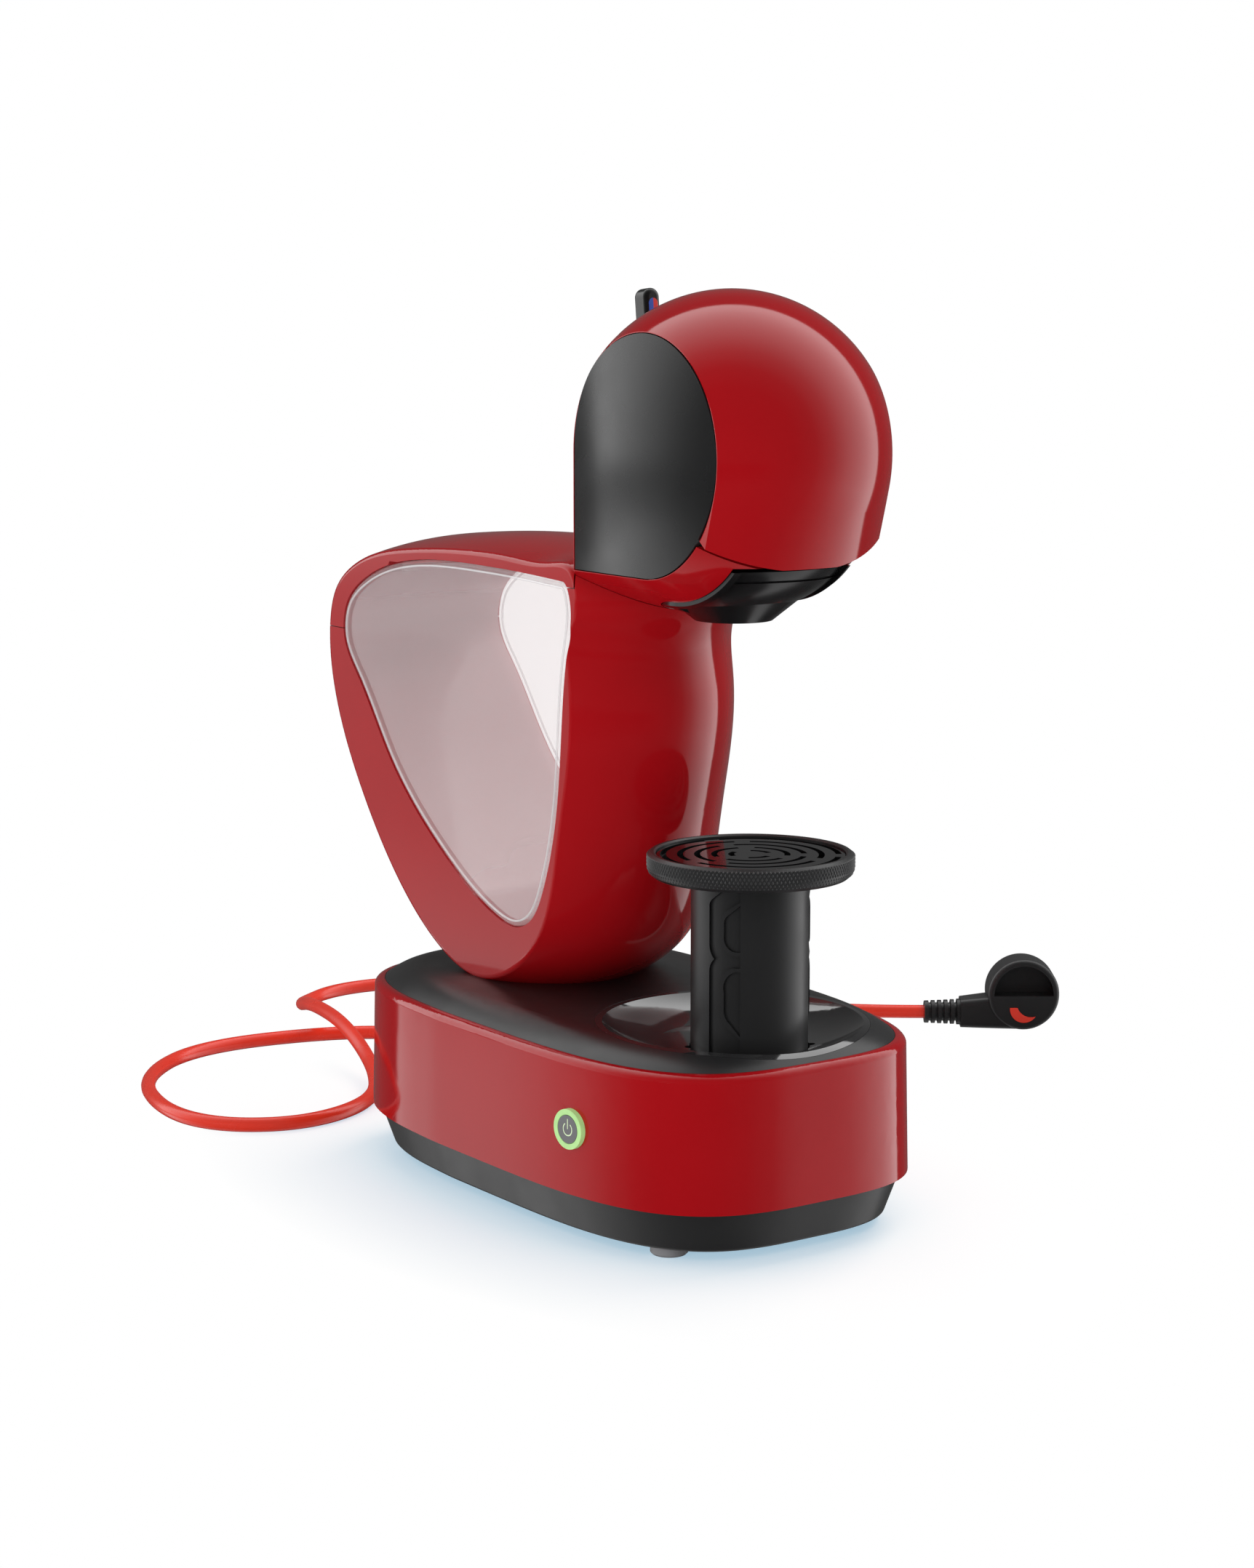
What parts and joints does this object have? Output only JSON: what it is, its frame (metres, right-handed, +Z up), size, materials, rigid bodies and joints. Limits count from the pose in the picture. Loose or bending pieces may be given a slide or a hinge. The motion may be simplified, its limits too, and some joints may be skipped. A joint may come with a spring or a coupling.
{
  "type": "pod coffee machine",
  "caption": "Pod coffee machine with a ball-shaped hinged head, sliding pod drawer, lift-out rear tank, height-adjustable drip tray column and oval base with power button.",
  "frame": {"origin": "centre of the machine's bounding box (cord and plug left out) on the floor under the feet", "axes": "+Z up, -Y toward the user at the front, +X to the right seen from the front"},
  "size_m": [0.4627, 0.5037, 0.3708],
  "materials": {
    "red_gloss": "glossy moulded plastic",
    "black_satin": "fine-grained satin plastic",
    "black_gloss": "polished black plastic",
    "grey_rubber": "soft grey rubber",
    "steel": "plain steel",
    "clear_plastic": "clear moulded plastic",
    "inner_plastic": "unpainted technical plastic",
    "cold_mark": "blue print",
    "hot_mark": "red print",
    "light_ring": "lit translucent ring",
    "button_grey": "satin grey cap",
    "board_green": "lacquered board",
    "heater_alloy": "cast aluminium",
    "clear_hose": "milky silicone hose",
    "cord_orange": "red-orange cord sheath"
  },
  "bodies": {
    "machine": {"base_pan": "black_satin", "base_band": "red_gloss", "collar_dish": "black_gloss", "base_deck": "black_satin", "rubber_feet": "grey_rubber", "base_screws": "steel", "column_guide": "black_satin", "body_shell": "red_gloss", "tank_seat": "inner_plastic", "head_shell": "red_gloss", "hinge_pin": "steel", "side_panel_right": "black_satin", "side_panel_left": "black_satin", "head_core": "inner_plastic", "selector_valve": "inner_plastic", "button_ring": "light_ring", "control_board": "board_green", "button_switch": "inner_plastic", "pump": "steel", "pump_mounts": "grey_rubber", "heater": "heater_alloy", "inlet_hose": "clear_hose", "outlet_hose": "clear_hose", "head_hose": "clear_hose", "cord_gland": "black_satin", "power_cord": "cord_orange", "plug_relief": "black_satin", "plug_body": "black_satin", "plug_accent": "cord_orange", "plug_pins": "steel"},
    "hood": {"hood": "red_gloss"},
    "injector": {"injector_plate": "inner_plastic", "injector_seal": "grey_rubber", "injector_needle": "steel"},
    "pod_drawer": {"pod_holder": "black_satin"},
    "selector": {"selector_lever": "black_satin", "lever_mark_cold": "cold_mark", "lever_mark_hot": "hot_mark"},
    "button": {"power_button": "button_grey"},
    "column": {"drip_column": "black_satin"},
    "tray": {"drip_tray": "black_satin"},
    "grid": {"drip_grid": "black_gloss"},
    "tank": {"water_tank": "clear_plastic"},
    "tank_cover": {"tank_lid": "red_gloss"},
    "outlet_valve": {"tank_valve": "inner_plastic"}
  },
  "joints": [
    {"name": "hood_open", "type": "hinge", "parent": "machine", "child": "hood", "pos_m": [0, -0.06055, 0.35851], "axis": [-1, 0, 0], "range_deg": [0, 40]},
    {"name": "injector_lift", "type": "slide", "parent": "machine", "child": "injector", "axis": [0, 0, 1], "range_m": [0, 0.007]},
    {"name": "pod_drawer_slide", "type": "slide", "parent": "machine", "child": "pod_drawer", "axis": [0, -1, 0], "range_m": [0, 0.075]},
    {"name": "lever_select", "type": "hinge", "parent": "machine", "child": "selector", "pos_m": [0, -0.0386, 0.317], "axis": [0, 0.9945, -0.1045], "range_deg": [-18, 18]},
    {"name": "button_press", "type": "slide", "parent": "machine", "child": "button", "axis": [0.9915, 0.13, 0], "range_m": [0, 0.0012], "stiffness_N_per_m": 600},
    {"name": "column_height", "type": "slide", "parent": "machine", "child": "column", "axis": [0, 0, -1], "range_m": [0, 0.048]},
    {"name": "tray_lift", "type": "slide", "parent": "column", "child": "tray", "axis": [0, 0, 1], "range_m": [0, 0.06]},
    {"name": "grid_lift", "type": "slide", "parent": "tray", "child": "grid", "axis": [0, 0, 1], "range_m": [0, 0.025]},
    {"name": "tank_lift", "type": "slide", "parent": "machine", "child": "tank", "axis": [0, 0.342, 0.9397], "range_m": [0, 0.15]},
    {"name": "lid_lift", "type": "slide", "parent": "tank", "child": "tank_cover", "axis": [0, 0.342, 0.9397], "range_m": [0, 0.08]},
    {"name": "valve_lift", "type": "slide", "parent": "tank", "child": "outlet_valve", "axis": [0, 0.342, 0.9397], "range_m": [0, 0.002], "stiffness_N_per_m": 200, "springref_m": -0.002}
  ],
  "couplings": [
    {"joint": "injector_lift", "follows": "hood_open", "m_per_rad": 0.01}
  ]
}
